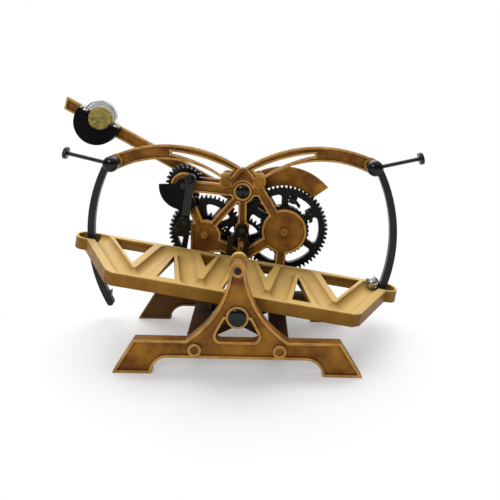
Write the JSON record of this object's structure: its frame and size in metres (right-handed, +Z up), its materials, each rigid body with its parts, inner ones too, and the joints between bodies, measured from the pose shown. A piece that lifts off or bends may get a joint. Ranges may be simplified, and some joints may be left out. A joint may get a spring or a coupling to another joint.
{
  "type": "ball clock model",
  "caption": "Desk ball clock: a ball rolls along a rocking zig-zag tray between two latch arms, driving a gear train with a crank rod and a coin-weighted lever.",
  "frame": {"origin": "on the table, under the middle of the whole model's box", "axes": "+X to the right as seen from the front, along the model's length; +Y to the back; +Z up"},
  "size_m": [0.2613, 0.112, 0.154],
  "materials": {
    "tan_plastic": "moulded, semi-gloss, lighter worn rims",
    "brown_plastic": "moulded, semi-gloss, dark",
    "black_plastic": "moulded, semi-gloss",
    "dark_steel": "turned, dark",
    "ball_steel": "polished",
    "coin_brass": "plain, worn",
    "clear_plastic": "clear moulded"
  },
  "bodies": {
    "frame": {"front_stand": "tan_plastic", "rear_stand": "tan_plastic", "left_crossbar": "brown_plastic", "right_crossbar": "brown_plastic", "base_brace": "brown_plastic", "base_screws": "dark_steel", "window_cap": "black_plastic", "pivot_pin": "dark_steel", "pivot_bush": "tan_plastic", "front_plate": "tan_plastic", "rear_plate": "tan_plastic", "left_wing": "tan_plastic", "right_wing": "tan_plastic", "wing_pins": "tan_plastic", "plate_pillars": "dark_steel", "foot_spacers": "brown_plastic", "rear_pivot_pin": "dark_steel", "idle_stud": "dark_steel", "left_arm_pin": "black_plastic", "right_arm_pin": "black_plastic"},
    "tray": {"tray": "tan_plastic", "left_loop": "tan_plastic", "right_loop": "tan_plastic", "tray_hanger": "black_plastic", "link_bracket": "black_plastic", "bracket_pins": "dark_steel"},
    "ball": {"ball": "ball_steel"},
    "great_wheel": {"great_wheel": "black_plastic", "pawl_pins": "dark_steel"},
    "upper_pawl": {"upper_pawl": "black_plastic"},
    "lower_pawl": {"lower_pawl": "black_plastic"},
    "centre_wheel": {"centre_wheel": "black_plastic", "centre_pinion": "black_plastic", "centre_arbor": "dark_steel"},
    "crank": {"crank_wheel": "black_plastic", "crank_arbor": "dark_steel", "crank_weight": "black_plastic"},
    "rod": {"connecting_rod": "black_plastic"},
    "upper_pinion": {"upper_pinion": "black_plastic", "upper_arbor": "black_plastic"},
    "idle_wheel": {"idle_wheel": "black_plastic"},
    "lever": {"drive_lever": "tan_plastic", "sector_blade": "tan_plastic", "great_arbor": "dark_steel", "ratchet": "black_plastic", "coin_cup": "black_plastic", "coin_drum": "clear_plastic", "coins": "coin_brass"},
    "left_arm": {"left_arm": "black_plastic"},
    "right_arm": {"right_arm": "black_plastic"},
    "left_screw": {"left_balance_screw": "black_plastic"},
    "right_screw": {"right_balance_screw": "black_plastic"}
  },
  "joints": [
    {"name": "tray_rock", "type": "hinge", "parent": "frame", "child": "tray", "pos_m": [0.00724, -0.00955, 0.0614], "axis": [0, -1, 0], "range_deg": [0, 18]},
    {"name": "ball_roll", "type": "slide", "parent": "tray", "child": "ball", "axis": [-0.5108, -0.8559, 0.0809], "range_m": [0, 0.052]},
    {"name": "great_wheel_turn", "type": "hinge", "parent": "frame", "child": "great_wheel", "pos_m": [0.03764, 0.03745, 0.0592], "axis": [0, -1, 0], "continuous": true},
    {"name": "upper_pawl_lift", "type": "hinge", "parent": "great_wheel", "child": "upper_pawl", "pos_m": [0.04425, 0.03395, 0.08081], "axis": [0, -1, 0], "range_deg": [0, 8], "stiffness_Nm_per_rad": 0.0004, "springref_deg": -5.73},
    {"name": "lower_pawl_lift", "type": "hinge", "parent": "great_wheel", "child": "lower_pawl", "pos_m": [0.0566, 0.03395, 0.07151], "axis": [0, -1, 0], "range_deg": [0, 8], "stiffness_Nm_per_rad": 0.0004, "springref_deg": -5.73},
    {"name": "centre_wheel_turn", "type": "hinge", "parent": "frame", "child": "centre_wheel", "pos_m": [-0.02001, 0.03745, 0.05591], "axis": [0, -1, 0], "continuous": true},
    {"name": "crank_turn", "type": "hinge", "parent": "frame", "child": "crank", "pos_m": [-0.03565, 0.03745, 0.09204], "axis": [0, -1, 0], "continuous": true},
    {"name": "rod_top_pivot", "type": "hinge", "parent": "crank", "child": "rod", "pos_m": [-0.03008, 0.02495, 0.09706], "axis": [0, -1, 0], "continuous": true},
    {"name": "upper_pinion_turn", "type": "hinge", "parent": "frame", "child": "upper_pinion", "pos_m": [0.0072, 0.03745, 0.08814], "axis": [0, -1, 0], "continuous": true},
    {"name": "idle_wheel_turn", "type": "hinge", "parent": "frame", "child": "idle_wheel", "pos_m": [0.00759, 0.04145, 0.04943], "axis": [0, -1, 0], "continuous": true},
    {"name": "lever_drop", "type": "hinge", "parent": "frame", "child": "lever", "pos_m": [0.03764, 0.05245, 0.0592], "axis": [0, -1, 0], "range_deg": [-4, 38]},
    {"name": "left_arm_swing", "type": "hinge", "parent": "frame", "child": "left_arm", "pos_m": [-0.08366, 0.01395, 0.1095], "axis": [0, 1, 0], "range_deg": [0, 2]},
    {"name": "right_arm_swing", "type": "hinge", "parent": "frame", "child": "right_arm", "pos_m": [0.09814, 0.01395, 0.1095], "axis": [0, -1, 0], "range_deg": [0, 2]},
    {"name": "left_screw_turn", "type": "hinge", "parent": "left_arm", "child": "left_screw", "pos_m": [-0.10314, 0.01395, 0.114], "axis": [-0.9744, 0, 0.225], "continuous": true},
    {"name": "right_screw_turn", "type": "hinge", "parent": "right_arm", "child": "right_screw", "pos_m": [0.11763, 0.01395, 0.114], "axis": [0.9744, 0, 0.225], "continuous": true}
  ],
  "couplings": [
    {"joint": "centre_wheel_turn", "follows": "great_wheel_turn", "ratio": -1.2},
    {"joint": "crank_turn", "follows": "great_wheel_turn", "ratio": 2.4},
    {"joint": "rod_top_pivot", "follows": "great_wheel_turn", "ratio": -2.4},
    {"joint": "upper_pinion_turn", "follows": "great_wheel_turn", "ratio": -3},
    {"joint": "idle_wheel_turn", "follows": "great_wheel_turn", "ratio": 0.96}
  ]
}
